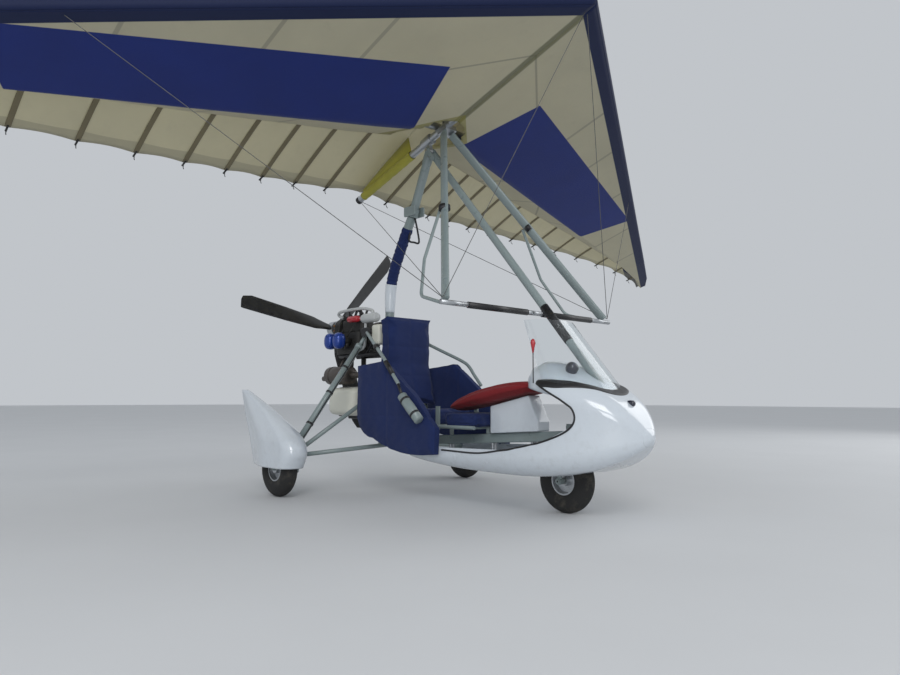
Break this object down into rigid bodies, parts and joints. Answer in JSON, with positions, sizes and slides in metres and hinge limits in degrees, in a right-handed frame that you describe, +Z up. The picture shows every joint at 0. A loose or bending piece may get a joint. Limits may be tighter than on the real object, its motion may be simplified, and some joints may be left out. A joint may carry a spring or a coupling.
{
  "type": "flex-wing microlight trike",
  "caption": "Two-seat flex-wing microlight on three wheels: cloth delta wing, control bar, pod, rear engine and pusher propeller.",
  "frame": {"origin": "on the ground, at the centre of the aircraft's overall length and span", "axes": "+X forward, +Y to the pilot's left along the span, +Z up"},
  "size_m": [3.1248, 9.7, 3.6291],
  "materials": {
    "pod_white": "gloss",
    "cowl_dark": "gloss",
    "screen": "clear",
    "frame_grey": "satin",
    "frame_black": "satin",
    "alloy": "satin",
    "steel": "brushed",
    "navy_cloth": "woven",
    "red_cloth": "woven",
    "engine_dark": "rough",
    "engine_blue": "satin",
    "tank_plastic": "matt",
    "prop_black": "satin",
    "tyre": "matt",
    "sail_cloth": "woven"
  },
  "bodies": {
    "trike": {"chassis_beam": "frame_grey", "mast_lower": "frame_grey", "mast_upper": "alloy", "mast_bracket": "frame_black", "front_strut": "frame_grey", "hang_bolt": "steel", "gear_left": "frame_grey", "gear_right": "frame_grey", "spat_left": "pod_white", "spat_right": "pod_white", "pod": "pod_white", "instrument_cowl": "cowl_dark", "windscreen": "screen", "seat_frame": "frame_grey", "front_seat": "navy_cloth", "rear_seat": "navy_cloth", "seat_back": "navy_cloth", "pannier_left": "navy_cloth", "pannier_right": "navy_cloth", "engine_case": "engine_dark", "engine_heads": "engine_blue", "gearbox": "engine_dark", "carburettors": "engine_dark", "exhaust": "steel", "engine_mount": "frame_black", "tank_tray": "frame_black", "fuel_tank": "tank_plastic", "pod_posts": "alloy"},
    "fork": {"fork": "frame_grey", "foot_bar": "alloy"},
    "front_wheel": {"front_tyre": "tyre", "front_rim": "alloy"},
    "rear_wheel_left": {"rear_left_tyre": "tyre", "rear_left_rim": "alloy"},
    "rear_wheel_right": {"rear_right_tyre": "tyre", "rear_right_rim": "alloy"},
    "propeller": {"prop_hub": "alloy", "prop_blades": "prop_black"},
    "front_backrest": {"front_backrest": "red_cloth"},
    "hang_bracket": {"hang_bracket": "alloy"},
    "wing": {"wing_keel": "alloy", "keel_fittings": "alloy", "leading_edges": "alloy", "crossbar": "alloy", "kingpost": "alloy", "sail_left": "sail_cloth", "sail_right": "sail_cloth", "downtubes": "alloy", "control_bar": "frame_black", "training_bars": "frame_grey", "rigging_lower": "steel", "rigging_upper": "steel"}
  },
  "joints": [
    {"name": "nose_steering", "type": "hinge", "parent": "trike", "child": "fork", "pos_m": [1.0494, 0, 0.44], "axis": [0, 0, 1], "range_deg": [-25, 25]},
    {"name": "front_wheel_spin", "type": "hinge", "parent": "fork", "child": "front_wheel", "pos_m": [1.0194, 0, 0.185], "axis": [0, 1, 0], "continuous": true},
    {"name": "rear_wheel_left_spin", "type": "hinge", "parent": "trike", "child": "rear_wheel_left", "pos_m": [-0.7056, 0.865, 0.185], "axis": [0, 1, 0], "continuous": true},
    {"name": "rear_wheel_right_spin", "type": "hinge", "parent": "trike", "child": "rear_wheel_right", "pos_m": [-0.7056, -0.865, 0.185], "axis": [0, 1, 0], "continuous": true},
    {"name": "propeller_spin", "type": "hinge", "parent": "trike", "child": "propeller", "pos_m": [-1.3506, 0, 1.22], "axis": [1, 0, 0], "continuous": true},
    {"name": "front_backrest_fold", "type": "hinge", "parent": "trike", "child": "front_backrest", "pos_m": [0.1094, 0, 0.586], "axis": [0, 1, 0], "range_deg": [-100, 0]},
    {"name": "wing_pitch", "type": "hinge", "parent": "trike", "child": "hang_bracket", "pos_m": [-0.1816, 0, 2.434], "axis": [0, 1, 0], "range_deg": [0, 16]},
    {"name": "wing_roll", "type": "hinge", "parent": "hang_bracket", "child": "wing", "pos_m": [-0.20531, 0, 2.50831], "axis": [0.9527, 0, 0.304], "range_deg": [-15, 15]}
  ]
}
